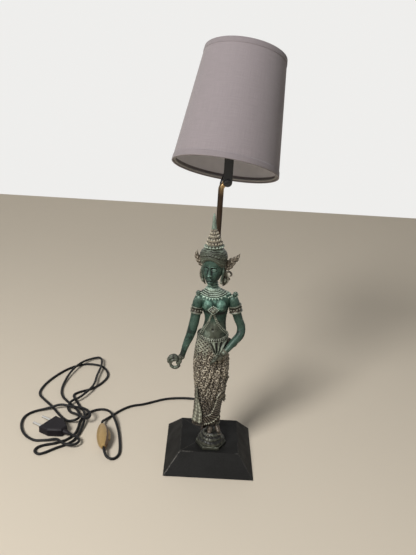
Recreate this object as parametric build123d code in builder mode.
"""Figural table lamp: a cast dancer on a stepped base, a bent tube behind it, a tilting
bracket with a small lampholder, and a clip-on fabric shade. Millimetres, +Z up, the
origin at the centre of the plinth's underside, and the dancer facing -Y."""

import os
from math import cos, pi, radians, sin, tan

from build123d import *

os.makedirs("parts", exist_ok=True)

# ---------------------------------------------------------------- driving dimensions
PAD_THICKNESS = 1.0
PAD_MARGIN = 1.5
PLINTH_BOTTOM = 120.0
PLINTH_TOP = 78.8
PLINTH_HEIGHT = 26.0
RECESS_SIDE = 66.0
RECESS_DEPTH = 12.0
FIT = 0.3  # clearance round anything that passes through a hole

FIGURE_Y = -12.0  # the dancer's vertical middle plane
PEDESTAL_CENTRE = (1.8, -17.0)
PEDESTAL_RADIUS = 21.5
PEDESTAL_EDGE = 4.0
PEDESTAL_RISE = 7.0
BELT_Z = 188.0
NECK_Z = 256.5
CROWN_Z = 304.5
HEAD_TURN = -18.0  # degrees, towards the dancer's right hand

BOLT_DIAMETER = 5.0
BOLT_GRIP = 8.0

STEM_DIAMETER = 7.0
STEM_BORE = 5.2
STEM_X, STEM_Y = -6.3, 8.0
STEM_BEND_RADIUS = 8.0
STEM_BEND_TURN = 50.0
STEM_FOOT_Z = 6.0
COLLAR_DIAMETER = 13.0
COLLAR_HEIGHT = 5.0

LUG_THICKNESS = 3.0
LUG_WIDTH = 9.0
PIVOT_X = 1.0
PIVOT_Z = 383.3
PIVOT_SCREW = 4.0
PIVOT_RUNNING = 0.06
WASHER_THICKNESS = 1.0
WASHER_DIAMETER = 8.0
STRAP_CLEARANCE = 0.3  # from the strap back to the round of the stem
STRAP_WIDTH = 11.0
STRAP_THICKNESS = 2.0
TAB_REACH = 12.0  # from the strap back to the lampholder's axis
TAB_DIAMETER = 20.0
TAB_Z = 415.0

SHADE_BOTTOM_RADIUS = 64.5
SHADE_TOP_RADIUS = 49.8
SHADE_HEIGHT = 141.0
SHADE_WALL = 1.2
SHADE_TRIM = 0.5
SHADE_TRIM_GAP = 0.02  # the glue under the tape
SHADE_TRIM_HEIGHT = 7.0
RING_WIRE = 2.6
SHADE_BASE = (-3.1, 1.5, 398.4)
SHADE_LEAN = 7.4  # degrees to the right, seen from the front
SHADE_BACK = 21.0  # degrees away from the front
BAR_DROP = 28.0  # from the shade's top edge down to its bar
BAR_WIRE = 2.6

NIPPLE_DIAMETER = 10.0
NIPPLE_BORE = 7.0
HOLDER_DIAMETER = 27.0
HOLDER_CAP_HEIGHT = 12.0
HOLDER_HEIGHT = 37.0
HOLDER_WALL = 1.6
CAP_DIAMETER = 13.6
CAP_LENGTH = 23.0
BULB_DIAMETER = 45.0
BULB_LENGTH = 71.0
GLASS_WALL = 1.0
CLIP_WIRE = 1.8
CLIP_GAP = 0.35

LEAD_WIRE = 1.8
CORD_DIAMETER = 3.8
CORD_FIT = 0.05
BUSH_DIAMETER = 9.0
BUSH_TAPER = 24.0
BUSH_Z = 8.0

SWITCH_LENGTH = 54.0
SWITCH_WIDTH = 19.0
SWITCH_THICKNESS = 15.0
SWITCH_CENTRE = (-151.0, 10.5, 8.4)
SWITCH_HEADING = -78.0  # degrees, from the lamp's end to the plug's end
SWITCH_ROLL = 38.0
SWITCH_SCREW = 2.4
ROCKER_LENGTH = 26.0
ROCKER_HEIGHT = 4.4
ROCKER_PROUD = 0.9
PLUG_CENTRE = (-222.0, 27.0)
PLUG_HEADING = 150.0  # the way its pins point
PLUG_LENGTH = 33.0
PLUG_WIDTH = 34.0
PLUG_THICKNESS = 13.0
PLUG_RELIEF_LENGTH = 8.0
PLUG_PIN_DIAMETER = 4.0
PLUG_PIN_LENGTH = 19.0
PLUG_PIN_ROOT = 7.0
PLUG_PIN_SPACING = 18.6

# ---------------------------------------------------------------- worked-out places
PLINTH_TOP_Z = PAD_THICKNESS + PLINTH_HEIGHT
PEDESTAL_TOP_Z = PLINTH_TOP_Z + PEDESTAL_EDGE + PEDESTAL_RISE
LUG_FRONT_Y = STEM_Y - LUG_THICKNESS / 2
LUG_BACK_Y = STEM_Y + LUG_THICKNESS / 2
STRAP_BACK_Y = STEM_Y - STEM_DIAMETER / 2 - STRAP_CLEARANCE
STRAP_FRONT_Y = STRAP_BACK_Y - STRAP_THICKNESS
SCREW_SEAT_Y = STRAP_FRONT_Y - WASHER_THICKNESS
SHADE_AXIS = Vector(tan(radians(SHADE_LEAN)), tan(radians(SHADE_BACK)), 1).normalized()
SHADE_FOOT = Vector(*SHADE_BASE)
BAR_CENTRE = SHADE_FOOT + SHADE_AXIS * (SHADE_HEIGHT - BAR_DROP)
HOLDER_SEAT = Vector(PIVOT_X, STRAP_BACK_Y - STRAP_THICKNESS / 2 + TAB_REACH, TAB_Z)
HOLDER_AXIS = (BAR_CENTRE - HOLDER_SEAT).normalized()
TILT_AXIS = HOLDER_AXIS.cross(SHADE_AXIS).normalized()
HOLDER = Plane(origin=HOLDER_SEAT, x_dir=TILT_AXIS, z_dir=HOLDER_AXIS)
SHADE = Plane(origin=SHADE_FOOT, x_dir=TILT_AXIS, z_dir=SHADE_AXIS)


def save(part, name):
    """Labels a finished piece and writes it under its node's name."""
    part.label = name
    export_step(part, f"parts/{name}.step")


def stack(sections, turn=0.0):
    """A loft through level ellipses, each given as height, centre x, y and radii x, y."""
    with BuildPart() as shape:
        for height, x, y, radius_x, radius_y in sections:
            level = Plane(
                origin=(x, y, height),
                x_dir=(cos(radians(turn)), sin(radians(turn)), 0),
                z_dir=(0, 0, 1),
            )
            with BuildSketch(level):
                Ellipse(radius_x, radius_y)
        loft()
    return shape.part


def limb(points, girths):
    """Tapered runs between points, rounded at every point."""
    with BuildPart() as shape:
        for k in range(len(points) - 1):
            start, end = Vector(*points[k]), Vector(*points[k + 1])
            way = (end - start).normalized()
            with BuildSketch(Plane(origin=start, z_dir=way)):
                Circle(girths[k])
            with BuildSketch(Plane(origin=end, z_dir=way)):
                Circle(girths[k + 1])
            loft()
        for point, girth in zip(points, girths):
            with Locations(point):
                Sphere(girth)
    return shape.part


def ring(plane, radius, wire):
    """A wire ring that lies in a plane."""
    with BuildPart() as shape:
        with Locations(plane):
            Torus(radius, wire / 2)
    return shape.part


def wire_run(points, radii, diameter):
    """A round wire along straight runs joined by tangent arcs."""
    with BuildPart() as shape:
        with BuildLine() as way:
            FilletPolyline(*points, radius=radii)
        with BuildSketch(Plane(origin=way.line @ 0, z_dir=way.line % 0)):
            Circle(diameter / 2)
        sweep()
    return shape.part


# ================================================================ the base
with BuildPart() as felt_pad:
    with BuildSketch():
        RectangleRounded(PLINTH_BOTTOM - 2 * PAD_MARGIN, PLINTH_BOTTOM - 2 * PAD_MARGIN, 1)
    extrude(amount=PAD_THICKNESS)
save(felt_pad.part, "felt_pad")

recess_top = PAD_THICKNESS + RECESS_DEPTH
with BuildPart() as plinth:
    with BuildSketch(Plane.XY.offset(PAD_THICKNESS)):
        Rectangle(PLINTH_BOTTOM, PLINTH_BOTTOM)
    with BuildSketch(Plane.XY.offset(PLINTH_TOP_Z)):
        Rectangle(PLINTH_TOP, PLINTH_TOP)
    loft()
    chamfer(plinth.edges().group_by(Axis.Z)[-1], 0.5)
    with BuildSketch(Plane.XY.offset(PAD_THICKNESS)):
        RectangleRounded(RECESS_SIDE, RECESS_SIDE, 4)
    extrude(amount=RECESS_DEPTH, mode=Mode.SUBTRACT)
    with BuildSketch(Plane.XY.offset(PAD_THICKNESS)):
        with Locations((STEM_X, STEM_Y)):
            Circle(STEM_DIAMETER / 2 + FIT / 2)
        with Locations(PEDESTAL_CENTRE):
            Circle(BOLT_DIAMETER / 2 + FIT / 2)
    extrude(amount=PLINTH_HEIGHT, mode=Mode.SUBTRACT)
    with BuildSketch(Plane.XZ.offset(-PLINTH_BOTTOM / 2)):
        with Locations((0, BUSH_Z)):
            Circle(BUSH_DIAMETER / 2 + FIT / 2)
    extrude(amount=PLINTH_BOTTOM / 2 - RECESS_SIDE / 2 + FIT, mode=Mode.SUBTRACT)
save(plinth.part, "plinth")

# The cast foot of the dancer: a six-sided plate under a stepped dome.
pedestal_sketch = Plane.XY.offset(PLINTH_TOP_Z)
with BuildPart() as pedestal:
    with BuildSketch(pedestal_sketch):
        with Locations(PEDESTAL_CENTRE):
            RegularPolygon(PEDESTAL_RADIUS, 6, rotation=30)
    extrude(amount=PEDESTAL_EDGE, taper=8)
    dome_steps = ((17.0, 2.6), (13.5, 2.4), (10.0, 2.0))
    dome_z = PLINTH_TOP_Z + PEDESTAL_EDGE
    for dome_radius, dome_height in dome_steps:
        with BuildSketch(Plane.XY.offset(dome_z)):
            with Locations(PEDESTAL_CENTRE):
                Circle(dome_radius)
        extrude(amount=dome_height, taper=24)
        dome_z += dome_height
    with BuildSketch(pedestal_sketch):
        with Locations(PEDESTAL_CENTRE):
            Circle(BOLT_DIAMETER / 2)
    extrude(amount=BOLT_GRIP, mode=Mode.SUBTRACT)
save(pedestal.part, "pedestal")

bolt_head_z = recess_top - WASHER_THICKNESS
with BuildPart() as figure_bolt:
    with BuildSketch(Plane.XY.offset(bolt_head_z - 3.5)):
        with Locations(PEDESTAL_CENTRE):
            RegularPolygon(4.6, 6)
    extrude(amount=3.5)
    with BuildSketch(Plane.XY.offset(bolt_head_z)):
        with Locations(PEDESTAL_CENTRE):
            Circle(BOLT_DIAMETER / 2)
    extrude(amount=PLINTH_TOP_Z + BOLT_GRIP - bolt_head_z)
save(figure_bolt.part, "figure_bolt")

with BuildPart() as figure_washer:
    with BuildSketch(Plane.XY.offset(bolt_head_z)):
        with Locations(PEDESTAL_CENTRE):
            Circle(7.5)
            Circle(BOLT_DIAMETER / 2 + FIT / 2, mode=Mode.SUBTRACT)
    extrude(amount=WASHER_THICKNESS)
save(figure_washer.part, "figure_washer")

# ================================================================ the cast dancer
# Level sections of the wrapped skirt, from its hem up to the belt.
skirt_sections = (
    (50.0, -7.0, -12.5, 17.8, 12.5),
    (62.0, -6.2, -12.5, 18.2, 12.6),
    (80.0, -4.6, -12.0, 18.8, 13.2),
    (97.0, -3.0, -12.0, 19.8, 14.0),
    (124.0, -4.3, -12.0, 22.0, 15.2),
    (152.0, -4.9, -12.0, 22.8, 15.6),
    (176.0, -4.2, -12.0, 21.2, 14.8),
    (BELT_Z, -4.9, -12.0, 18.8, 13.4),
)
hem_slope = 12.0  # degrees that the hem rises towards the dancer's left hip
with BuildPart() as skirt:
    add(stack(skirt_sections))
    hem_plane = Plane(origin=(-6.0, 0, 55.0), z_dir=(-sin(radians(hem_slope)), 0, cos(radians(hem_slope))))
    split(bisect_by=hem_plane, keep=Keep.TOP)
    # the flaring end of the pleated front panel
    with BuildSketch(Plane.XZ.offset(20.5)):
        with BuildLine():
            Polyline(
                (-21.5, 106), (-15.5, 106), (-9.5, 58), (-16, 54.5), (-25, 57.5), (-23, 66), close=True
            )
        make_face()
    extrude(amount=4.5, both=True)
    # ankles, and feet that stand on the dome
    for ankle, toe in (((3.0, -13.0), (1.0, -24.0)), ((9.0, -10.0), (12.5, -19.5))):
        add(
            limb(
                ((*ankle, 66.0), (*ankle, PEDESTAL_TOP_Z + 5.0), (*toe, PEDESTAL_TOP_Z + 2.2)),
                (5.2, 4.0, 2.6),
            )
        )
    add(pedestal.part, mode=Mode.SUBTRACT)
save(skirt.part, "skirt")

torso_sections = (
    (BELT_Z, -4.9, -12.0, 18.4, 13.0),
    (198.0, -3.6, -12.0, 16.2, 11.6),
    (211.0, -3.0, -12.0, 14.4, 10.6),
    (222.0, -4.4, -12.4, 17.0, 11.8),
    (234.0, -5.4, -12.6, 19.6, 12.6),
    (243.0, -4.0, -11.8, 21.0, 9.6),
    (249.0, -6.0, -11.4, 14.0, 7.6),
    (252.5, -8.4, -11.4, 7.4, 6.4),
    (NECK_Z, -8.8, -11.6, 6.2, 6.2),
)
with BuildPart() as torso:
    add(stack(torso_sections))
    for side in (-1, 1):
        with Locations((-5.4 + side * 8.4, FIGURE_Y - 10.0, 229.5)):
            Sphere(6.6)
    # the brooch where the crossed straps meet
    with BuildSketch(Plane.XZ.offset(19.0)):
        with Locations((-6.6, 228.6)):
            Circle(4.2)
    extrude(amount=5.2)
save(torso.part, "torso")

head_sections = (
    (NECK_Z, -9.3, -14.6, 5.4, 7.0),
    (262.0, -10.2, -15.6, 9.2, 10.6),
    (268.0, -10.4, -15.0, 11.4, 13.0),
    (276.0, -10.4, -14.4, 12.6, 14.6),
    (285.0, -10.6, -13.8, 13.0, 15.2),
    (294.0, -10.7, -13.4, 12.2, 14.6),
    (CROWN_Z, -10.6, -13.2, 8.4, 10.0),
)
head_facing = Vector(sin(radians(HEAD_TURN)), -cos(radians(HEAD_TURN)), 0)
with BuildPart() as head:
    add(stack(head_sections, HEAD_TURN))
    nose_bridge = Vector(-10.4, -14.6, 281.0) + head_facing * 13.2
    nose_tip = Vector(-10.4, -14.6, 272.5) + head_facing * 14.6
    add(limb((tuple(nose_bridge), tuple(nose_tip)), (1.2, 1.9)))
save(head.part, "head")

diadem_sections = (
    (283.5, -10.9, -12.6, 14.6, 15.6),
    (288.0, -11.2, -13.0, 16.9, 16.6),
    (293.0, -11.3, -13.4, 17.6, 17.2),
    (299.0, -10.9, -13.4, 15.6, 15.6),
    (CROWN_Z, -10.2, -13.2, 11.4, 11.6),
)
with BuildPart() as diadem:
    add(stack(diadem_sections, HEAD_TURN))
    add(head.part, mode=Mode.SUBTRACT)
save(diadem.part, "diadem")

# A tiered spire, turned about an axis that leans a little to the dancer's right.
CROWN = Plane(origin=(-10.2, -13.2, CROWN_Z), x_dir=(1, 0, 0), z_dir=(-0.062, 0, 1))
crown_tiers = (
    (10.4, 0.0), (10.4, 3.4), (8.6, 4.4), (8.6, 8.6), (6.9, 9.8), (6.9, 13.2), (5.0, 14.4),
    (5.0, 18.4), (3.5, 19.6), (3.2, 26.0), (2.2, 34.0), (0.9, 43.4),
)
with BuildPart() as crown_spire:
    with BuildSketch(CROWN * Plane.XZ):
        with BuildLine():
            Polyline((0, 0), *crown_tiers, (0, crown_tiers[-1][1] + 0.7), close=True)
        make_face()
    revolve(axis=Axis(CROWN.origin, CROWN.z_dir))
    add(head.part, mode=Mode.SUBTRACT)
    add(diadem.part, mode=Mode.SUBTRACT)
save(crown_spire.part, "crown_spire")


def ear_wing(outline, depth_y):
    """A flat cast ornament that stands beside the head, drawn as seen from the front."""
    with BuildPart() as shape:
        with BuildSketch(Plane.XZ.offset(-depth_y)):
            with BuildLine():
                Polyline(*outline, close=True)
            make_face()
        extrude(amount=1.3, both=True)
        add(head.part, mode=Mode.SUBTRACT)
        add(diadem.part, mode=Mode.SUBTRACT)
        add(torso.part, mode=Mode.SUBTRACT)
    return shape.part


wing_by_left_hand = ear_wing(
    (
        (2.0, 281.0), (9.0, 287.5), (16.0, 291.5), (22.0, 298.0), (20.5, 290.5), (15.0, 283.5),
        (9.0, 276.5), (12.8, 271.5), (8.0, 271.0), (9.0, 262.0), (4.0, 255.6), (0.0, 260.0), (-1.0, 274.0),
    ),
    -11.5,
)
save(wing_by_left_hand, "ear_wing_left")
wing_by_right_hand = ear_wing(
    (
        (-22.0, 279.0), (-27.6, 284.0), (-33.0, 290.0), (-32.4, 300.0), (-29.2, 297.0), (-29.4, 290.0),
        (-26.0, 283.0), (-19.0, 278.0), (-19.0, 270.0), (-16.0, 257.0), (-20.0, 257.5), (-24.0, 264.0),
        (-25.6, 273.0),
    ),
    -8.0,
)
save(wing_by_right_hand, "ear_wing_right")

HAND_RING = (-51.5, -24.0, 148.5)
right_arm_points = (
    (-24.6, -12.0, 241.0), (-27.8, -13.0, 222.5), (-33.0, -15.5, 196.0), (-43.2, -22.0, 160.0),
    (-46.8, -23.6, 154.0),
)
with BuildPart() as arm_right:
    add(limb(right_arm_points, (6.6, 5.6, 4.9, 3.4, 4.0)))
    with BuildSketch(Plane(origin=right_arm_points[1], z_dir=(-0.18, 0, 1))):
        Circle(6.9)
    extrude(amount=3.4, both=True)
    with Locations(Plane(origin=HAND_RING, z_dir=(0, -1, 0))):
        Torus(6.4, 2.4)
    add(torso.part, mode=Mode.SUBTRACT)
save(arm_right.part, "arm_right")

left_arm_points = (
    (17.2, -12.0, 241.0), (21.4, -12.0, 226.0), (32.0, -11.0, 197.0), (11.6, -27.6, 171.5),
    (3.8, -30.0, 163.5),
)
with BuildPart() as arm_left:
    add(limb(left_arm_points, (6.6, 5.8, 5.0, 3.7, 4.6)))
    with BuildSketch(Plane(origin=left_arm_points[1], z_dir=(0.27, 0, -1))):
        Circle(7.1)
    extrude(amount=3.6, both=True)
    add(torso.part, mode=Mode.SUBTRACT)
    add(skirt.part, mode=Mode.SUBTRACT)
save(arm_left.part, "arm_left")

# The knotted end of the hip sash, and its tail down the dancer's left side.
with BuildPart() as side_sash:
    add(limb(((14.0, -9.0, 182.0), (20.0, -7.0, 177.5), (25.4, -6.0, 172.5)), (3.4, 3.0, 4.2)))
    add(
        limb(
            ((15.0, -8.0, 180.0), (16.4, -7.5, 150.0), (16.6, -7.5, 124.0), (15.2, -8.0, 104.0),
             (16.8, -8.0, 90.5)),
            (3.2, 3.2, 3.6, 3.6, 2.0),
        )
    )
    add(skirt.part, mode=Mode.SUBTRACT)
    add(arm_left.part, mode=Mode.SUBTRACT)
    add(torso.part, mode=Mode.SUBTRACT)
save(side_sash.part, "side_sash")

# ================================================================ the stem
# The tube bends towards the pivot, and past the bend it is pressed flat into an eye.
stem_way_out = Vector(sin(radians(STEM_BEND_TURN)), 0, cos(radians(STEM_BEND_TURN)))
bend_end_x = STEM_X + STEM_BEND_RADIUS * (1 - stem_way_out.Z)
lug_reach = (PIVOT_X - bend_end_x) / stem_way_out.X
PIVOT = Vector(PIVOT_X, STEM_Y, PIVOT_Z)
bend_end = PIVOT - stem_way_out * lug_reach
STEM_BEND_Z = bend_end.Z - STEM_BEND_RADIUS * stem_way_out.X
lug_flat = WASHER_DIAMETER / 2 + FIT
half_turn = radians(STEM_BEND_TURN / 2)
LEAD_EXIT_Z = 356.0  # where the two lead wires leave the tube's back
with BuildPart() as stem_tube:
    with BuildLine():
        Line((STEM_X, STEM_Y, STEM_FOOT_Z), (STEM_X, STEM_Y, STEM_BEND_Z))
        ThreePointArc(
            (STEM_X, STEM_Y, STEM_BEND_Z),
            (
                STEM_X + STEM_BEND_RADIUS * (1 - cos(half_turn)),
                STEM_Y,
                STEM_BEND_Z + STEM_BEND_RADIUS * sin(half_turn),
            ),
            tuple(bend_end),
        )
    with BuildSketch(Plane.XY.offset(STEM_FOOT_Z)):
        with Locations((STEM_X, STEM_Y)):
            Circle(STEM_DIAMETER / 2)
    sweep()
    with BuildSketch(Plane(origin=bend_end, x_dir=(0, 1, 0), z_dir=stem_way_out)):
        Circle(STEM_DIAMETER / 2)
    with BuildSketch(Plane(origin=PIVOT - stem_way_out * lug_flat, x_dir=(0, 1, 0), z_dir=stem_way_out)):
        RectangleRounded(LUG_THICKNESS, LUG_WIDTH, 1.2)
    loft()
    with BuildSketch(Plane(origin=PIVOT, x_dir=stem_way_out, z_dir=(0, -1, 0))):
        Circle(LUG_WIDTH / 2)
        with Locations((-lug_flat / 2, 0)):
            Rectangle(lug_flat, LUG_WIDTH)
    extrude(amount=LUG_THICKNESS / 2, both=True)
    with BuildSketch(Plane.XZ.offset(-STEM_Y - STEM_DIAMETER)):
        with Locations((PIVOT_X, PIVOT_Z)):
            Circle(PIVOT_SCREW / 2)
    extrude(amount=2 * STEM_DIAMETER, mode=Mode.SUBTRACT)
    with BuildSketch(Plane.XY.offset(STEM_FOOT_Z)):
        with Locations((STEM_X, STEM_Y)):
            Circle(STEM_BORE / 2)
    extrude(amount=STEM_BEND_Z - STEM_FOOT_Z, mode=Mode.SUBTRACT)
    with BuildSketch(Plane.XZ.offset(-STEM_Y - STEM_DIAMETER)):
        with Locations((STEM_X, LEAD_EXIT_Z)):
            SlotOverall(16, 4.6, rotation=90)
    extrude(amount=STEM_DIAMETER, mode=Mode.SUBTRACT)
save(stem_tube.part, "stem_tube")


def stem_ring(bottom_z, height, outer, sides=0):
    """A collar, washer or nut round the foot of the stem."""
    with BuildPart() as shape:
        with BuildSketch(Plane.XY.offset(bottom_z)):
            with Locations((STEM_X, STEM_Y)):
                if sides:
                    RegularPolygon(outer / 2, sides)
                else:
                    Circle(outer / 2)
                Circle(STEM_DIAMETER / 2, mode=Mode.SUBTRACT)
        extrude(amount=height)
    return shape.part


save(stem_ring(PLINTH_TOP_Z, COLLAR_HEIGHT, COLLAR_DIAMETER), "stem_collar")
save(stem_ring(recess_top - WASHER_THICKNESS, WASHER_THICKNESS, 15.0), "stem_washer")
save(stem_ring(recess_top - WASHER_THICKNESS - 3.5, 3.5, 13.0, 6), "stem_nut")

# ================================================================ wiring in the base
BLOCK_CENTRE = (2.0, 24.0)
BLOCK_SIZE = (18.0, 12.0, 8.0)
BLOCK_Z = PAD_THICKNESS + 2.0
terminal_places = [(BLOCK_CENTRE[0] + side * 4.5, BLOCK_CENTRE[1]) for side in (-1, 1)]
with BuildPart() as terminal_block:
    with BuildSketch(Plane.XY.offset(BLOCK_Z)):
        with Locations(BLOCK_CENTRE):
            RectangleRounded(BLOCK_SIZE[0], BLOCK_SIZE[1], 1.2)
    extrude(amount=recess_top - BLOCK_Z)
    with BuildSketch(Plane.XY.offset(BLOCK_Z)):
        with Locations(*terminal_places):
            Circle(2.0)
    extrude(amount=3.0, mode=Mode.SUBTRACT)
save(terminal_block.part, "terminal_block")

with BuildPart() as terminal_screws:
    with BuildSketch(Plane.XY.offset(BLOCK_Z)):
        with Locations(*terminal_places):
            Circle(2.0)
    extrude(amount=3.0)
save(terminal_screws.part, "terminal_screws")

block_front_y = BLOCK_CENTRE[1] - BLOCK_SIZE[1] / 2
lead_offset = LEAD_WIRE / 2 + 0.1
exit_y = STEM_Y + STEM_DIAMETER / 2 + 4.0
LEAD_END_Z = LEAD_EXIT_Z + 8.0
with BuildPart() as stem_leads:
    for side in (-1, 1):
        x = STEM_X + side * lead_offset
        add(
            wire_run(
                (
                    (x, block_front_y, 4.0),
                    (x, STEM_Y, 4.0),
                    (x, STEM_Y, LEAD_EXIT_Z - 4.0),
                    (x, exit_y, LEAD_EXIT_Z + 3.0),
                    (x, exit_y, LEAD_END_Z),
                ),
                (2.6, 5.0, 4.0),
                LEAD_WIRE,
            )
        )
save(stem_leads.part, "stem_leads")

# The rubber bush that the mains cord leaves through, tapered behind the plinth.
plinth_slope = (PLINTH_BOTTOM - PLINTH_TOP) / 2 / PLINTH_HEIGHT
bush_face_y = PLINTH_BOTTOM / 2 - plinth_slope * (BUSH_Z - PAD_THICKNESS)
BUSH_IN_Y = RECESS_SIDE / 2
BUSH_OUT_Y = bush_face_y + BUSH_TAPER
bush_bore = CORD_DIAMETER / 2 + CORD_FIT
with BuildPart() as cord_bush:
    with BuildSketch(Plane.YZ):
        with BuildLine():
            Polyline(
                (BUSH_IN_Y, BUSH_Z + bush_bore),
                (BUSH_IN_Y, BUSH_Z + BUSH_DIAMETER / 2),
                (bush_face_y + 3.0, BUSH_Z + BUSH_DIAMETER / 2),
                (BUSH_OUT_Y, BUSH_Z + CORD_DIAMETER / 2 + 0.8),
                (BUSH_OUT_Y, BUSH_Z + bush_bore),
                close=True,
            )
        make_face()
    revolve(axis=Axis((0, 0, BUSH_Z), (0, 1, 0)))
save(cord_bush.part, "cord_bush")

with BuildPart() as cord_inlet:
    block_back_y = BLOCK_CENTRE[1] + BLOCK_SIZE[1] / 2
    with BuildSketch(Plane.XZ.offset(-block_back_y)):
        with Locations((0, BUSH_Z)):
            Circle(CORD_DIAMETER / 2)
    extrude(amount=block_back_y - BUSH_OUT_Y)
save(cord_inlet.part, "cord_inlet")

# ================================================================ pivot and bracket
def pivot_disc(front_y, thickness, outer, bore, sides=0):
    """A washer, nut or ring on the pivot's axis, running back from front_y."""
    with BuildPart() as shape:
        with BuildSketch(Plane.XZ.offset(-front_y)):
            with Locations((PIVOT_X, PIVOT_Z)):
                if sides:
                    RegularPolygon(outer / 2, sides)
                else:
                    Circle(outer / 2)
                if bore:
                    Circle(bore / 2, mode=Mode.SUBTRACT)
        extrude(amount=-thickness)
    return shape.part


pivot_bore = PIVOT_SCREW + 2 * PIVOT_RUNNING
with BuildPart() as pivot_washers:
    add(pivot_disc(SCREW_SEAT_Y, WASHER_THICKNESS, WASHER_DIAMETER, PIVOT_SCREW))
    add(pivot_disc(STRAP_BACK_Y, LUG_FRONT_Y - STRAP_BACK_Y, WASHER_DIAMETER, PIVOT_SCREW))
save(pivot_washers.part, "pivot_washers")

SCREW_HEAD_DIAMETER = 7.6
SCREW_HEAD_HEIGHT = 2.6
NUT_THICKNESS = 3.2
with BuildPart() as pivot_screw:
    add(pivot_disc(SCREW_SEAT_Y - SCREW_HEAD_HEIGHT, SCREW_HEAD_HEIGHT, SCREW_HEAD_DIAMETER, 0))
    fillet(pivot_screw.edges().group_by(Axis.Y)[0], 0.8)
    with BuildSketch(Plane.XZ.offset(-(SCREW_SEAT_Y - SCREW_HEAD_HEIGHT))):
        with Locations((PIVOT_X, PIVOT_Z)):
            Rectangle(SCREW_HEAD_DIAMETER + 1, 1.0, rotation=25)
    extrude(amount=-1.0, mode=Mode.SUBTRACT)
    add(pivot_disc(SCREW_SEAT_Y, LUG_BACK_Y + NUT_THICKNESS + 1.0 - SCREW_SEAT_Y, PIVOT_SCREW, 0))
save(pivot_screw.part, "pivot_screw")
save(pivot_disc(LUG_BACK_Y, NUT_THICKNESS, 8.0, PIVOT_SCREW, 6), "pivot_nut")

# A flat steel strap, rounded at the pivot and folded back into an eye for the lampholder.
strap_front = Plane.XZ.offset(-STRAP_FRONT_Y)
tab_way = (Vector(0, -1, 0) - HOLDER_AXIS * Vector(0, -1, 0).dot(HOLDER_AXIS)).normalized()
tab_top = Plane(origin=HOLDER_SEAT, x_dir=tab_way, z_dir=HOLDER_AXIS)
with BuildPart() as holder_bracket:
    with BuildSketch(strap_front):
        with Locations((PIVOT_X, PIVOT_Z)):
            Circle(STRAP_WIDTH / 2)
        with Locations((PIVOT_X, PIVOT_Z + 25)):
            Rectangle(STRAP_WIDTH, 50)
    extrude(amount=-STRAP_THICKNESS)
    split(bisect_by=tab_top, keep=Keep.BOTTOM)
    with BuildSketch(tab_top) as tab_sketch:
        with Locations((TAB_REACH, 0)):
            Rectangle(2 * TAB_REACH, STRAP_WIDTH)
        Circle(TAB_DIAMETER / 2)
    extrude(amount=-STRAP_THICKNESS)
    split(bisect_by=Plane(origin=(0, STRAP_FRONT_Y, 0), z_dir=(0, 1, 0)), keep=Keep.TOP)
    with BuildSketch(strap_front):
        with Locations((PIVOT_X, PIVOT_Z)):
            Circle(pivot_bore / 2)
    extrude(amount=-STRAP_THICKNESS, mode=Mode.SUBTRACT)
    with BuildSketch(tab_top):
        Circle(NIPPLE_DIAMETER / 2)
    extrude(amount=-STRAP_THICKNESS, mode=Mode.SUBTRACT)
save(holder_bracket.part, "holder_bracket")


# ================================================================ lampholder and bulb
def turned(profile):
    """A solid turned about the lampholder's axis from (radius, height) points."""
    with BuildPart() as shape:
        with BuildSketch(HOLDER * Plane.XZ):
            with BuildLine():
                Polyline(*profile, close=True)
            make_face()
        revolve(axis=Axis(HOLDER.origin, HOLDER.z_dir))
    return shape.part


NIPPLE_BELOW = 8.0
NIPPLE_ABOVE = 6.0
FLOOR = 3.0
r_nipple, r_bore = NIPPLE_DIAMETER / 2, NIPPLE_BORE / 2
r_holder = HOLDER_DIAMETER / 2
save(
    turned((
        (r_bore, -NIPPLE_BELOW), (r_nipple, -NIPPLE_BELOW), (r_nipple, NIPPLE_ABOVE), (r_bore, NIPPLE_ABOVE),
    )),
    "holder_nipple",
)
with BuildPart() as nipple_nut:
    with BuildSketch(HOLDER.offset(-STRAP_THICKNESS)):
        RegularPolygon(8.0, 6)
        Circle(r_nipple, mode=Mode.SUBTRACT)
    extrude(amount=-3.0)
save(nipple_nut.part, "nipple_nut")

save(
    turned((
        (r_nipple, 0), (r_holder - 4.0, 0), (r_holder - 1.0, FLOOR), (r_holder - 1.0, HOLDER_CAP_HEIGHT),
        (r_holder - 1.0 - HOLDER_WALL, HOLDER_CAP_HEIGHT), (r_holder - 1.0 - HOLDER_WALL, FLOOR + 1.0),
        (r_nipple, FLOOR + 1.0),
    )),
    "holder_cap",
)
INSERT_RADIUS = r_holder - 1.0 - HOLDER_WALL - FIT
INSERT_TOP = 17.0
INSERT_BOTTOM = NIPPLE_ABOVE + 1.0
save(
    turned((
        (0, INSERT_BOTTOM), (INSERT_RADIUS, INSERT_BOTTOM), (INSERT_RADIUS, INSERT_TOP - 2.0),
        (INSERT_RADIUS - 2.0, INSERT_TOP - 2.0), (INSERT_RADIUS - 2.0, INSERT_TOP - 1.0),
        (0, INSERT_TOP - 1.0),
    )),
    "holder_insert",
)
CAP_TIP_Z = INSERT_TOP
sleeve_bore = CAP_DIAMETER / 2 + FIT
save(
    turned((
        (r_holder - 2.6, HOLDER_CAP_HEIGHT + 0.01), (r_holder, HOLDER_CAP_HEIGHT + 0.01),
        (r_holder, HOLDER_CAP_HEIGHT + 6.0), (r_holder - 2.0, HOLDER_HEIGHT), (sleeve_bore, HOLDER_HEIGHT),
        (sleeve_bore, INSERT_TOP), (r_holder - 2.6, INSERT_TOP),
    )),
    "holder_sleeve",
)
save(
    turned(((0, INSERT_TOP - 1.0), (2.4, INSERT_TOP - 1.0), (2.4, CAP_TIP_Z), (0, CAP_TIP_Z))),
    "holder_contact",
)

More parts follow.
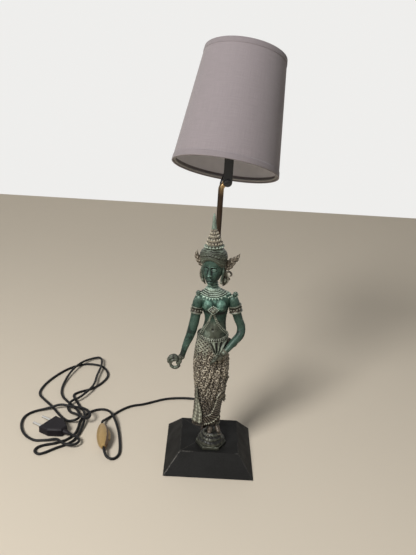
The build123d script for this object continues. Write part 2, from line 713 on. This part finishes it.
CAP_TOP_Z = CAP_TIP_Z + CAP_LENGTH
save(
    turned((
        (0, CAP_TIP_Z), (2.4, CAP_TIP_Z), (4.2, CAP_TIP_Z + 3.0), (CAP_DIAMETER / 2, CAP_TIP_Z + 4.6),
        (CAP_DIAMETER / 2, CAP_TOP_Z), (0, CAP_TOP_Z),
    )),
    "bulb_cap",
)
bulb_radius = BULB_DIAMETER / 2
BULB_CENTRE_Z = CAP_TIP_Z + BULB_LENGTH - bulb_radius
neck_radius = CAP_DIAMETER / 2
neck_joins = radians(40)  # where the neck meets the ball, off the lampholder's axis
joint_height = BULB_CENTRE_Z - bulb_radius * cos(neck_joins)
joint_radius = bulb_radius * sin(neck_joins)
inner_radius = bulb_radius - GLASS_WALL
with BuildPart() as bulb_glass:
    with BuildSketch(HOLDER * Plane.XZ):
        with BuildLine():
            Polyline(
                (neck_radius - GLASS_WALL, CAP_TOP_Z), (neck_radius, CAP_TOP_Z), (joint_radius, joint_height)
            )
            ThreePointArc(
                (joint_radius, joint_height), (bulb_radius, BULB_CENTRE_Z), (0, BULB_CENTRE_Z + bulb_radius)
            )
            Line((0, BULB_CENTRE_Z + bulb_radius), (0, BULB_CENTRE_Z + inner_radius))
            ThreePointArc(
                (0, BULB_CENTRE_Z + inner_radius),
                (inner_radius, BULB_CENTRE_Z),
                (inner_radius * sin(neck_joins), BULB_CENTRE_Z - inner_radius * cos(neck_joins)),
            )
            Line(
                (inner_radius * sin(neck_joins), BULB_CENTRE_Z - inner_radius * cos(neck_joins)),
                (neck_radius - GLASS_WALL, CAP_TOP_Z),
            )
        make_face()
    revolve(axis=Axis(HOLDER.origin, HOLDER.z_dir))
save(bulb_glass.part, "bulb_glass")

# ================================================================ the clip on the bulb
BULB = HOLDER.offset(BULB_CENTRE_Z)
clip_radius = bulb_radius + CLIP_GAP + CLIP_WIRE / 2
HUB_LIFT = (BAR_CENTRE - BULB.origin).dot(HOLDER_AXIS)
CLIP_SPREAD = 34.0
CLIP_REACH = 112.0  # degrees from the bulb's top to the clip's lowest wire


def on_bulb(polar, around):
    """The unit vector out of the bulb's centre, in degrees from its top and round its axis."""
    polar, around = radians(polar), radians(around)
    local = Vector(sin(polar) * cos(around), sin(polar) * sin(around), cos(polar))
    return BULB.from_local_coords(local) - BULB.origin


def clip_leg(around):
    """A wire down the bulb's side, from the clip's hub to its lowest wire."""
    start, further = on_bulb(CLIP_START, around), on_bulb(CLIP_START + 90, around)
    with BuildPart() as shape:
        with BuildSketch(Plane(origin=BULB.origin + start * clip_radius, z_dir=further)):
            Circle(CLIP_WIRE / 2)
        revolve(axis=Axis(BULB.origin, start.cross(further)), revolution_arc=CLIP_REACH - CLIP_START)
    return shape.part


def clip_foot(facing):
    """The level wire that joins two legs below the bulb's widest ring."""
    start = on_bulb(CLIP_REACH, facing - CLIP_SPREAD)
    along = on_bulb(90, facing - CLIP_SPREAD + 90)
    with BuildPart() as shape:
        with BuildSketch(Plane(origin=BULB.origin + start * clip_radius, z_dir=along)):
            Circle(CLIP_WIRE / 2)
        revolve(axis=Axis(BULB.origin, HOLDER_AXIS), revolution_arc=2 * CLIP_SPREAD)
    return shape.part


CLIP_START = 9.0  # degrees off the top where the legs meet the hub
HUB_THICKNESS = 1.4
HUB_RADIUS = 5.4
EYE_WIDTH = 10.0
hub = BULB.offset(clip_radius - CLIP_WIRE / 2 + 0.3)
eye_plane = Plane(origin=BAR_CENTRE - TILT_AXIS * (EYE_WIDTH / 2), z_dir=TILT_AXIS)
with BuildPart() as bulb_clip:
    with BuildSketch(hub):
        Circle(HUB_RADIUS)
    extrude(amount=HUB_THICKNESS)
    with BuildSketch(hub):
        Rectangle(6.0, 3.0)
    extrude(amount=HUB_LIFT - clip_radius)
    with BuildSketch(eye_plane):
        Circle(BAR_WIRE / 2 + 1.6)
    extrude(amount=EYE_WIDTH)
    for facing in (90.0, 270.0):
        for side in (-1, 1):
            around = facing + side * CLIP_SPREAD
            add(clip_leg(around))
            with Locations(BULB.origin + on_bulb(CLIP_REACH, around) * clip_radius):
                Sphere(CLIP_WIRE / 2 + 0.2)
        add(clip_foot(facing))
    with BuildSketch(eye_plane):
        Circle(BAR_WIRE / 2 + PIVOT_RUNNING)
    extrude(amount=EYE_WIDTH, mode=Mode.SUBTRACT)
save(bulb_clip.part, "bulb_clip")

# ================================================================ the leads at the pivot
leads_turn_z = PIVOT_Z - 4.0
with BuildPart() as holder_leads:
    for side in (-1, 1):
        x = STEM_X + side * lead_offset
        beside = Vector(side * lead_offset, 0, 0)
        seated = beside - HOLDER_AXIS * beside.dot(HOLDER_AXIS)
        add(
            wire_run(
                (
                    (x, exit_y, LEAD_END_Z),
                    (x, exit_y, leads_turn_z),
                    tuple(HOLDER_SEAT - HOLDER_AXIS * (NIPPLE_BELOW + 8.0) + beside),
                    tuple(HOLDER_SEAT + HOLDER_AXIS * (INSERT_BOTTOM - FIT) + seated),
                ),
                (14.0, 14.0),
                LEAD_WIRE,
            )
        )
save(holder_leads.part, "holder_leads")

# ================================================================ the shade
shade_taper = (SHADE_BOTTOM_RADIUS - SHADE_TOP_RADIUS) / SHADE_HEIGHT


def shade_band(low, high, inner, outer):
    """A conical band of the shade between two heights; inner and outer are from its face."""
    def edge(height, offset):
        return SHADE_BOTTOM_RADIUS - shade_taper * height + offset

    with BuildPart() as shape:
        with BuildSketch(SHADE * Plane.XZ):
            with BuildLine():
                Polyline(
                    (edge(low, inner), low), (edge(low, outer), low),
                    (edge(high, outer), high), (edge(high, inner), high), close=True,
                )
            make_face()
        revolve(axis=Axis(SHADE.origin, SHADE.z_dir))
    return shape.part


save(shade_band(0, SHADE_HEIGHT, -SHADE_WALL, 0), "shade_cover")
save(shade_band(0, SHADE_TRIM_HEIGHT, SHADE_TRIM_GAP, SHADE_TRIM), "shade_trim_bottom")
save(
    shade_band(SHADE_HEIGHT - SHADE_TRIM_HEIGHT, SHADE_HEIGHT, SHADE_TRIM_GAP, SHADE_TRIM), "shade_trim_top"
)

ring_gap = SHADE_WALL + RING_WIRE / 2 + 0.15
bottom_ring_z = RING_WIRE
top_ring_z = SHADE_HEIGHT - RING_WIRE
top_ring_radius = SHADE_TOP_RADIUS + shade_taper * RING_WIRE - ring_gap
bottom_ring_radius = SHADE_BOTTOM_RADIUS - shade_taper * bottom_ring_z - ring_gap
save(ring(SHADE.offset(bottom_ring_z), bottom_ring_radius, RING_WIRE), "shade_bottom_ring")
save(ring(SHADE.offset(top_ring_z), top_ring_radius, RING_WIRE), "shade_top_ring")

BAR_STRAIGHT = 15.0  # half the bar's level length
bar_z = SHADE_HEIGHT - BAR_DROP


def in_shade(x, z):
    """A point of the bar's plane, in the shade's own frame."""
    return SHADE.from_local_coords(Vector(x, 0, z))


bar_end = top_ring_radius - RING_WIRE / 2
with BuildPart() as shade_bar:
    bar_points = (
        in_shade(-bar_end, top_ring_z),
        in_shade(-BAR_STRAIGHT, bar_z),
        in_shade(BAR_STRAIGHT, bar_z),
        in_shade(bar_end, top_ring_z),
    )
    add(wire_run(bar_points, (8.0, 8.0), BAR_WIRE))
    with Locations(in_shade(-bar_end, top_ring_z), in_shade(bar_end, top_ring_z)):
        Sphere(BAR_WIRE / 2)
    with Locations(SHADE.offset(top_ring_z)):
        Torus(top_ring_radius, RING_WIRE / 2, mode=Mode.SUBTRACT)
save(shade_bar.part, "shade_bar")

# ================================================================ the cord's switch
switch_way = Vector(cos(radians(SWITCH_HEADING)), sin(radians(SWITCH_HEADING)), 0)
switch_side = Vector(switch_way.Y, -switch_way.X, 0) * sin(radians(SWITCH_ROLL))
SWITCH = Plane(
    origin=SWITCH_CENTRE, x_dir=switch_way, z_dir=switch_side + Vector(0, 0, cos(radians(SWITCH_ROLL)))
)
SWITCH_END = 3.4  # half the width of its flat ends
SWITCH_HOLLOW = (32.0, 9.0, 4.4)  # length, width and depth of each shell's hollow
HEAD_Z = -3.4  # where the screw heads sit, below the parting plane
screw_places = [(side * 20.5, 0) for side in (-1, 1)]
screw_hold = 2.0
rocker_back_y = 4.6
rocker_pin = (0, rocker_back_y + 1.2)
rocker_pin_radius = 0.8
rocker_low_z = -ROCKER_HEIGHT - 0.5

with BuildPart() as switch_solid:
    for share in (-1.0, -0.72, -0.38, 0.0, 0.38, 0.72, 1.0):
        swell = cos(radians(90 * abs(share))) ** 0.62
        place = SWITCH.from_local_coords(Vector(share * SWITCH_LENGTH / 2, 0, 0))
        with BuildSketch(Plane(origin=place, x_dir=SWITCH.y_dir, z_dir=SWITCH.x_dir)):
            Ellipse(
                SWITCH_END + (SWITCH_WIDTH / 2 - SWITCH_END) * swell,
                SWITCH_END + (SWITCH_THICKNESS / 2 - SWITCH_END) * swell,
            )
    loft()

with BuildPart() as switch_upper:
    add(switch_solid.part)
    split(bisect_by=SWITCH, keep=Keep.TOP)
    with BuildSketch(SWITCH):
        RectangleRounded(SWITCH_HOLLOW[0], SWITCH_HOLLOW[1], 2)
    extrude(amount=SWITCH_HOLLOW[2], mode=Mode.SUBTRACT)
    with BuildSketch(SWITCH):
        with Locations(*screw_places):
            Circle(SWITCH_SCREW / 2)
        with Locations(rocker_pin):
            Circle(rocker_pin_radius)
    extrude(amount=screw_hold, mode=Mode.SUBTRACT)
save(switch_upper.part, "switch_upper")

with BuildPart() as switch_lower:
    add(switch_solid.part)
    split(bisect_by=SWITCH, keep=Keep.BOTTOM)
    with BuildSketch(SWITCH):
        RectangleRounded(SWITCH_HOLLOW[0], SWITCH_HOLLOW[1], 2)
    extrude(amount=-SWITCH_HOLLOW[2], mode=Mode.SUBTRACT)
    with BuildSketch(SWITCH):
        with Locations(*screw_places):
            Circle(SWITCH_SCREW / 2)
        with Locations(rocker_pin):
            Circle(rocker_pin_radius)
    extrude(amount=rocker_low_z - 1.0, mode=Mode.SUBTRACT)
    with BuildSketch(SWITCH.offset(HEAD_Z)):
        with Locations(*screw_places):
            Circle(SWITCH_SCREW)
    extrude(amount=-SWITCH_THICKNESS, mode=Mode.SUBTRACT)
    with BuildSketch(SWITCH.offset(rocker_low_z - FIT)):
        with Locations((0, (rocker_back_y - 1.6 + SWITCH_WIDTH) / 2)):
            Rectangle(ROCKER_LENGTH + 3 * FIT, SWITCH_WIDTH - rocker_back_y + 1.6)
    extrude(amount=ROCKER_HEIGHT + 2 * FIT, mode=Mode.SUBTRACT)
save(switch_lower.part, "switch_lower")

with BuildPart() as switch_rocker:
    with BuildSketch(SWITCH.offset(rocker_low_z)):
        with BuildLine():
            rocker_end = ROCKER_LENGTH / 2
            Polyline(
                (rocker_end, 8.1), (rocker_end, rocker_back_y), (-rocker_end, rocker_back_y), (-rocker_end, 8.1)
            )
            ThreePointArc((-rocker_end, 8.1), (0, 8.9 + ROCKER_PROUD), (rocker_end, 8.1))
        make_face()
        with Locations(rocker_pin):
            Circle(rocker_pin_radius + PIVOT_RUNNING, mode=Mode.SUBTRACT)
    extrude(amount=ROCKER_HEIGHT)
save(switch_rocker.part, "switch_rocker")

with BuildPart() as switch_pin:
    with BuildSketch(SWITCH.offset(rocker_low_z - 1.0)):
        with Locations(rocker_pin):
            Circle(rocker_pin_radius)
    extrude(amount=screw_hold - rocker_low_z + 1.0)
save(switch_pin.part, "switch_pin")

with BuildPart() as switch_screws:
    with BuildSketch(SWITCH.offset(HEAD_Z)):
        with Locations(*screw_places):
            Circle(SWITCH_SCREW)
    extrude(amount=-1.4)
    with BuildSketch(SWITCH.offset(HEAD_Z)):
        with Locations(*screw_places):
            Circle(SWITCH_SCREW / 2)
    extrude(amount=screw_hold - HEAD_Z)
save(switch_screws.part, "switch_screws")

with BuildPart() as switch_contacts:
    with BuildSketch(SWITCH.offset(-SWITCH_HOLLOW[2])):
        with Locations((-11.0, -1.5), (11.0, -1.5)):
            Rectangle(7.0, 4.0)
    extrude(amount=3.2)
save(switch_contacts.part, "switch_contacts")

# ================================================================ the cord's plug
plug_way = Vector(cos(radians(PLUG_HEADING)), sin(radians(PLUG_HEADING)), 0)
PLUG = Plane(origin=(*PLUG_CENTRE, PLUG_THICKNESS / 2), x_dir=plug_way, z_dir=(0, 0, 1))
pin_places = [(side * PLUG_PIN_SPACING / 2, 0) for side in (-1, 1)]
plug_nose = PLUG_LENGTH / 2
pin_root = Plane(
    origin=PLUG.from_local_coords(Vector(plug_nose - PLUG_PIN_ROOT, 0, 0)), x_dir=PLUG.y_dir, z_dir=plug_way
)
with BuildPart() as plug_body:
    with BuildSketch(PLUG):
        with BuildLine():
            Polyline(
                (plug_nose, -PLUG_WIDTH / 2), (plug_nose, PLUG_WIDTH / 2), (0.5, PLUG_WIDTH / 2),
                (4.5 - plug_nose, 9.5), (-plug_nose, 6.0), (-plug_nose, -6.0), (4.5 - plug_nose, -9.5),
                (0.5, -PLUG_WIDTH / 2), close=True,
            )
        make_face()
    extrude(amount=PLUG_THICKNESS / 2, both=True)
    chamfer(plug_body.faces().filter_by(Axis.Z).edges(), 2.0)
    with BuildSketch(pin_root):
        with Locations(*pin_places):
            Circle(PLUG_PIN_DIAMETER / 2)
    extrude(amount=PLUG_PIN_ROOT, mode=Mode.SUBTRACT)
save(plug_body.part, "plug_body")

with BuildPart() as plug_pins:
    with BuildSketch(pin_root):
        with Locations(*pin_places):
            Circle(PLUG_PIN_DIAMETER / 2)
    extrude(amount=PLUG_PIN_ROOT + PLUG_PIN_LENGTH)
    pin_tip = PLUG.from_local_coords(Vector(plug_nose + PLUG_PIN_LENGTH, 0, 0))
    fillet(plug_pins.edges().sort_by_distance(pin_tip)[:2], 1.0)
save(plug_pins.part, "plug_pins")

with BuildPart() as plug_relief:
    with BuildSketch(PLUG):
        with BuildLine():
            Polyline(
                (-plug_nose, 0), (-plug_nose, 4.4), (-plug_nose - PLUG_RELIEF_LENGTH, CORD_DIAMETER / 2 + 0.6),
                (-plug_nose - PLUG_RELIEF_LENGTH, 0), close=True,
            )
        make_face()
    revolve(axis=Axis(PLUG.origin, plug_way))
save(plug_relief.part, "plug_relief")

# ================================================================ the free cord
LOW = CORD_DIAMETER / 2  # the height of cord that lies on the table
bush_mouth = Vector(0, BUSH_OUT_Y, BUSH_Z)
switch_lamp_end = SWITCH.from_local_coords(Vector(-SWITCH_LENGTH / 2, 0, 0))
switch_plug_end = SWITCH.from_local_coords(Vector(SWITCH_LENGTH / 2, 0, 0))
plug_mouth = PLUG.from_local_coords(Vector(-plug_nose - PLUG_RELIEF_LENGTH, 0, 0))

# From the lamp round behind the figure to the switch.
LEAD_POINTS = [
    (-0.5, 103.0, LOW), (-4.0, 119.0, LOW), (-14.0, 131.5, LOW), (-30.0, 134.0, LOW), (-50.0, 133.0, LOW),
    (-70.0, 128.5, LOW), (-87.0, 118.5, LOW), (-104.0, 108.0, LOW), (-121.0, 103.0, LOW),
    (-136.0, 89.5, LOW), (-149.5, 69.0, LOW), (-157.0, 54.5, 4.6),
]
# From the switch up the near side, over the lead, to the heap.
RUN_POINTS = [
    (-139.0, -31.0, 3.4), (-129.5, -33.0, LOW), (-123.0, -23.0, LOW), (-124.0, -6.0, LOW),
    (-127.5, 14.0, LOW), (-132.0, 35.0, LOW), (-140.5, 56.0, 6.8), (-150.5, 76.0, 6.8),
    (-162.0, 89.0, LOW), (-174.0, 86.0, LOW), (-184.0, 77.5, LOW),
]
# The heap: a fold towards the front, a wide loop behind, a narrower one on it, an oval on
# the left, and a turn in front of the plug. Each stretch lies over the ones before it.
HEAP_POINTS = [
    (-193.0, 56.0, LOW), (-191.5, 38.0, LOW), (-192.5, 20.0, LOW), (-202.0, 4.5, LOW), (-215.5, -4.0, LOW),
    (-230.0, -9.0, LOW), (-238.0, -15.0, LOW), (-240.0, -24.0, LOW), (-232.0, -31.0, LOW),
    (-222.0, -24.0, LOW), (-213.0, -15.0, LOW), (-200.0, -6.0, LOW), (-190.0, 6.0, LOW),
    (-186.0, 27.0, LOW), (-185.0, 53.0, 6.9), (-189.0, 70.0, 6.9), (-199.0, 90.0, LOW),
    (-212.0, 112.0, LOW), (-219.0, 126.0, LOW), (-208.0, 137.0, LOW), (-192.0, 146.0, LOW),
    (-179.0, 166.0, LOW), (-171.0, 193.0, LOW), (-184.0, 222.0, LOW), (-203.0, 230.0, LOW),
    (-223.0, 228.0, LOW), (-244.0, 211.0, LOW), (-260.0, 183.0, LOW), (-271.0, 154.0, LOW),
    (-274.0, 124.0, LOW), (-260.0, 107.0, LOW), (-242.0, 88.0, LOW), (-227.0, 67.0, LOW),
    (-213.0, 52.0, LOW), (-203.5, 46.0, 6.4), (-194.5, 49.0, 8.4), (-194.0, 62.0, 6.6),
    (-201.0, 80.0, LOW), (-212.0, 94.0, LOW), (-225.0, 107.0, LOW), (-237.0, 123.0, LOW),
    (-242.0, 152.0, LOW), (-237.0, 192.0, 6.9), (-226.0, 225.0, 7.1), (-210.0, 249.0, 3.5),
    (-194.0, 249.0, 6.8), (-188.0, 219.0, 6.8), (-191.0, 185.0, 5.8), (-189.0, 153.0, 6.7),
    (-196.0, 128.0, 7.8), (-206.0, 108.0, 7.0), (-216.0, 99.0, 7.5), (-219.0, 86.0, 2.9),
    (-212.0, 75.0, LOW), (-200.0, 57.0, 12.2), (-190.5, 45.5, 16.4), (-180.5, 43.5, 12.4),
    (-176.0, 53.5, 13.4), (-183.5, 65.5, 14.7), (-196.0, 75.0, 11.7), (-213.0, 83.0, 7.5),
    (-229.0, 85.0, 9.6), (-244.0, 80.0, 4.7), (-267.0, 73.0, LOW), (-278.0, 57.0, LOW),
    (-275.0, 32.0, LOW), (-263.0, 11.0, LOW), (-247.0, 0.0, LOW), (-236.0, 1.0, LOW),
    (-225.0, 2.5, 2.6), (-214.5, 0.0, 7.2), (-206.0, -7.0, 6.6), (-197.0, -12.5, 6.6),
    (-187.0, -11.5, 6.5), (-181.5, -3.0, 6.5), (-185.5, 6.0, 6.5),
]
cord_meeting = (Vector(*RUN_POINTS[-1]) + Vector(*HEAP_POINTS[0])) / 2


def cord_tube(name, points):
    """A stretch of cord whose every bend is as large as the runs beside it allow."""
    corners = [Vector(*point) for point in points]
    radii = []
    for before, here, after in zip(corners, corners[1:], corners[2:]):
        run_in, run_out = here - before, after - here
        half_bend = radians(run_in.get_angle(run_out)) / 2
        radii.append(0.45 * min(run_in.length, run_out.length) / tan(half_bend))
    with BuildPart() as shape:
        with BuildLine() as way:
            FilletPolyline(*corners, radius=radii)
        line = way.wires()[0]
        with BuildSketch(Plane(origin=line @ 0, z_dir=line % 0)):
            Circle(CORD_DIAMETER / 2)
        sweep(path=line)
    print(name, "bend radii", [round(radius, 1) for radius in radii])
    print(name, "length", round(line.length, 1), "volume", round(shape.part.volume))
    print(name, "section times length", round(line.length * pi * CORD_DIAMETER**2 / 4))
    save(shape.part, name)
    return line


def least_gap(line, other=None):
    """The least clear distance between a cord's line and itself, or another cord's line."""
    step, beside = 1.6, 18.0
    count = round(line.length / step)
    ours = [line @ (k / count) for k in range(count + 1)]
    if other is None:
        skip = round(beside / step)
        pairs = ((ours[i], ours[j]) for i in range(count + 1) for j in range(i + skip, count + 1))
    else:
        other_count = round(other.length / step)
        theirs = [other @ (k / other_count) for k in range(other_count + 1)]
        pairs = ((one, two) for one in ours for two in theirs)
    return min((one - two).length for one, two in pairs) - CORD_DIAMETER


lead_line = cord_tube(
    "cord_lead",
    [bush_mouth, bush_mouth + Vector(0, 9, 0), *LEAD_POINTS, switch_lamp_end - switch_way * 8, switch_lamp_end],
)
run_line = cord_tube(
    "cord_run", [switch_plug_end, switch_plug_end + switch_way * 7, *RUN_POINTS, cord_meeting]
)
heap_line = cord_tube(
    "cord_loops", [cord_meeting, *HEAP_POINTS, plug_mouth - plug_way * 7, plug_mouth]
)
print("least gaps", round(least_gap(run_line, lead_line), 2), round(least_gap(heap_line), 2))
